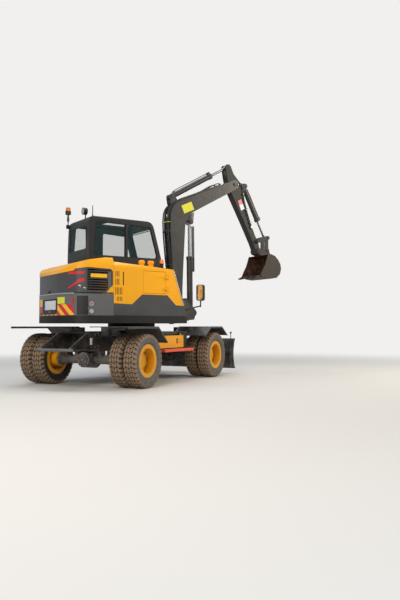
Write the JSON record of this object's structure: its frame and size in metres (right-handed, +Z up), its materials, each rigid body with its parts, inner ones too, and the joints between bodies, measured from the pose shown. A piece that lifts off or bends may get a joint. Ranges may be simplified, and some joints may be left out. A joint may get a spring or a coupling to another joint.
{
  "type": "wheeled excavator",
  "caption": "Compact wheeled excavator with twin tyres, offset-swing boom, arm and bucket, cab on the left, front dozer blade and raised working arm",
  "frame": {"origin": "On the floor under the middle of the machine's outline; the slewing axis stands 0.57 m behind and 0.07 m right of it", "axes": "+X is the way the upper body and boom face, +Y its left, +Z up; the chassis is turned 30 degrees counter-clockwise under it"},
  "size_m": [5.5405, 4.0062, 4.2965],
  "materials": {
    "black_paint": "satin black enamel, dusty",
    "black_plastic": "moulded black plastic",
    "bucket_steel": "worn dark enamel with rust",
    "cast_grey": "painted grey casting, dusty",
    "charcoal_paint": "satin charcoal enamel",
    "lamp_lens": "clear moulded lens",
    "orange_paint": "semi-gloss orange enamel",
    "rim_paint": "deep yellow enamel, dusty",
    "rod_chrome": "polished rod",
    "seat_fabric": "dark woven seat cover",
    "tyre_rubber": "tyre rubber with dust",
    "window_glass": "tinted safety glass",
    "yellow_paint": "semi-gloss yellow enamel"
  },
  "bodies": {
    "chassis": {"chassis_frame": "black_paint", "rear_axle": "cast_grey", "front_axle": "cast_grey", "mudguards": "black_paint", "tool_box": "black_paint", "step_box": "black_paint", "step_bars": "orange_paint", "rear_bracket": "black_paint"},
    "tool_box_lid": {"tool_box_lid": "yellow_paint"},
    "knuckle_left": {"knuckle_left": "cast_grey"},
    "knuckle_right": {"knuckle_right": "cast_grey"},
    "track_rod": {"track_rod": "cast_grey"},
    "wheels_front_left": {"tyres_front_left": "tyre_rubber", "rims_front_left": "rim_paint"},
    "wheels_front_right": {"tyres_front_right": "tyre_rubber", "rims_front_right": "rim_paint"},
    "wheels_rear_left": {"tyres_rear_left": "tyre_rubber", "rims_rear_left": "rim_paint"},
    "wheels_rear_right": {"tyres_rear_right": "tyre_rubber", "rims_rear_right": "rim_paint"},
    "blade": {"dozer_blade": "black_paint"},
    "blade_barrel": {"blade_barrel": "black_paint"},
    "blade_rod": {"blade_rod": "rod_chrome"},
    "upper": {"deck": "charcoal_paint", "counterweight": "charcoal_paint", "side_housing": "yellow_paint", "side_panel": "charcoal_paint", "engine_block": "cast_grey", "cab_frame": "charcoal_paint", "cab_glass": "window_glass", "seat": "seat_fabric", "controls": "black_plastic", "roof_lamps": "black_plastic", "tail_lamps": "lamp_lens", "mirrors": "black_plastic", "hand_rails": "black_paint"},
    "service_door": {"service_door": "yellow_paint"},
    "engine_hood": {"engine_hood": "yellow_paint", "rear_grille": "charcoal_paint"},
    "cab_door": {"cab_door": "charcoal_paint", "door_glass": "window_glass"},
    "swing_post": {"swing_post": "charcoal_paint"},
    "boom": {"boom": "charcoal_paint", "boom_pipes": "black_paint"},
    "boom_barrel": {"boom_barrel": "black_paint"},
    "boom_rod": {"boom_rod": "rod_chrome"},
    "arm": {"arm": "charcoal_paint"},
    "arm_barrel": {"arm_barrel": "black_paint"},
    "arm_rod": {"arm_rod": "rod_chrome"},
    "guide_links": {"guide_links": "charcoal_paint"},
    "bucket_link": {"bucket_link": "charcoal_paint"},
    "bucket_barrel": {"bucket_barrel": "black_paint"},
    "bucket_rod": {"bucket_rod": "rod_chrome"},
    "bucket": {"bucket": "bucket_steel"}
  },
  "joints": [
    {"name": "steer_left", "type": "hinge", "parent": "chassis", "child": "knuckle_left", "pos_m": [0.24453, 1.01599, 0.43], "axis": [0, 0, 1], "range_deg": [-27, 27]},
    {"name": "steer_right", "type": "hinge", "parent": "chassis", "child": "knuckle_right", "pos_m": [0.77453, 0.09801, 0.43], "axis": [0, 0, 1], "range_deg": [-27, 27]},
    {"name": "track_rod", "type": "slide", "parent": "chassis", "child": "track_rod", "axis": [-0.5, 0.866, 0], "range_m": [-0.08, 0.08]},
    {"name": "roll_front_left", "type": "hinge", "parent": "knuckle_left", "child": "wheels_front_left", "pos_m": [0.05703, 1.34075, 0.43], "axis": [-0.5, 0.866, 0], "continuous": true},
    {"name": "roll_front_right", "type": "hinge", "parent": "knuckle_right", "child": "wheels_front_right", "pos_m": [0.96203, -0.22675, 0.43], "axis": [-0.5, 0.866, 0], "continuous": true},
    {"name": "roll_rear_left", "type": "hinge", "parent": "chassis", "child": "wheels_rear_left", "pos_m": [-2.10803, 0.09075, 0.43], "axis": [-0.5, 0.866, 0], "continuous": true},
    {"name": "roll_rear_right", "type": "hinge", "parent": "chassis", "child": "wheels_rear_right", "pos_m": [-1.20303, -1.47675, 0.43], "axis": [-0.5, 0.866, 0], "continuous": true},
    {"name": "tool_box_lid", "type": "hinge", "parent": "chassis", "child": "tool_box_lid", "pos_m": [-0.142, -0.81451, 0.834], "axis": [-0.866, -0.5, 0], "range_deg": [0, 95]},
    {"name": "blade_lift", "type": "hinge", "parent": "chassis", "child": "blade", "pos_m": [0.72604, 0.682, 0.47], "axis": [0.5, -0.866, 0], "range_deg": [-18, 22]},
    {"name": "blade_barrel_turn", "type": "hinge", "parent": "chassis", "child": "blade_barrel", "pos_m": [0.70872, 0.672, 0.79], "axis": [0.5, -0.866, 0], "range_deg": [-13.3, 16]},
    {"name": "blade_rod_slide", "type": "slide", "parent": "blade_barrel", "child": "blade_rod", "axis": [0.7118, 0.4109, -0.5696], "range_m": [-0.1024, 0.0845]},
    {"name": "slew", "type": "hinge", "parent": "chassis", "child": "upper", "pos_m": [-0.573, -0.068, 1.03], "axis": [0, 0, 1], "continuous": true},
    {"name": "service_door", "type": "hinge", "parent": "upper", "child": "service_door", "pos_m": [-0.361, -1.007, 1.73], "axis": [0, 0, 1], "range_deg": [0, 110]},
    {"name": "engine_hood", "type": "hinge", "parent": "upper", "child": "engine_hood", "pos_m": [-1.491, 0.352, 2.104], "axis": [0, 1, 0], "range_deg": [0, 50]},
    {"name": "cab_door", "type": "hinge", "parent": "upper", "child": "cab_door", "pos_m": [-0.841, 0.873, 2], "axis": [0, 0, 1], "range_deg": [0, 165]},
    {"name": "boom_swing", "type": "hinge", "parent": "upper", "child": "swing_post", "pos_m": [0.287, -0.068, 1.16], "axis": [0, 0, 1], "range_deg": [-50, 60]},
    {"name": "boom_lift", "type": "hinge", "parent": "swing_post", "child": "boom", "pos_m": [0.397, -0.068, 1.45], "axis": [0, -1, 0], "range_deg": [-85, 6]},
    {"name": "boom_barrel_turn", "type": "hinge", "parent": "swing_post", "child": "boom_barrel", "pos_m": [0.707, -0.068, 1.24], "axis": [0, -1, 0], "range_deg": [-85.3, 7]},
    {"name": "boom_rod_slide", "type": "slide", "parent": "boom_barrel", "child": "boom_rod", "axis": [-0.0112, 0, 0.9999], "range_m": [-0.5167, 0.0402]},
    {"name": "arm_turn", "type": "hinge", "parent": "boom", "child": "arm", "pos_m": [1.737, -0.068, 3.89], "axis": [0, 1, 0], "range_deg": [-52, 32]},
    {"name": "arm_barrel_turn", "type": "hinge", "parent": "boom", "child": "arm_barrel", "pos_m": [0.257, -0.068, 3.48], "axis": [0, -1, 0], "range_deg": [-2, 1.6]},
    {"name": "arm_rod_slide", "type": "slide", "parent": "arm_barrel", "child": "arm_rod", "axis": [0.8684, 0, 0.4958], "range_m": [-0.3222, 0.1998]},
    {"name": "bucket_turn", "type": "hinge", "parent": "arm", "child": "bucket", "pos_m": [2.35845, -0.068, 2.5512], "axis": [0, -1, 0], "range_deg": [-75, 68]},
    {"name": "guide_turn", "type": "hinge", "parent": "arm", "child": "guide_links", "pos_m": [2.31888, -0.068, 2.75995], "axis": [0, -1, 0], "range_deg": [-64.8, 58.9]},
    {"name": "link_turn", "type": "hinge", "parent": "guide_links", "child": "bucket_link", "pos_m": [2.58863, -0.068, 2.85098], "axis": [0, -1, 0], "range_deg": [-46.9, 51.7]},
    {"name": "bucket_barrel_turn", "type": "hinge", "parent": "arm", "child": "bucket_barrel", "pos_m": [2.02676, -0.068, 3.89992], "axis": [0, -1, 0], "range_deg": [-3.1, 2.9]},
    {"name": "bucket_rod_slide", "type": "slide", "parent": "bucket_barrel", "child": "bucket_rod", "axis": [0.4722, 0, -0.8815], "range_m": [-0.2497, 0.275]}
  ],
  "couplings": [
    {"joint": "steer_right", "follows": "steer_left", "ratio": 1},
    {"joint": "track_rod", "follows": "steer_left", "m_per_rad": -0.15896},
    {"joint": "blade_barrel_turn", "follows": "blade_lift", "ratio": 0.68152},
    {"joint": "blade_rod_slide", "follows": "blade_lift", "m_per_rad": -0.25614},
    {"joint": "boom_barrel_turn", "follows": "boom_lift", "ratio": 0.99229},
    {"joint": "boom_rod_slide", "follows": "boom_lift", "m_per_rad": 0.34559},
    {"joint": "arm_barrel_turn", "follows": "arm_turn", "ratio": 0.01906},
    {"joint": "arm_rod_slide", "follows": "arm_turn", "m_per_rad": 0.35066},
    {"joint": "guide_turn", "follows": "bucket_turn", "ratio": 0.85074},
    {"joint": "link_turn", "follows": "bucket_turn", "ratio": -0.67535},
    {"joint": "bucket_barrel_turn", "follows": "bucket_turn", "ratio": 0.02823},
    {"joint": "bucket_rod_slide", "follows": "bucket_turn", "m_per_rad": -0.20703}
  ]
}
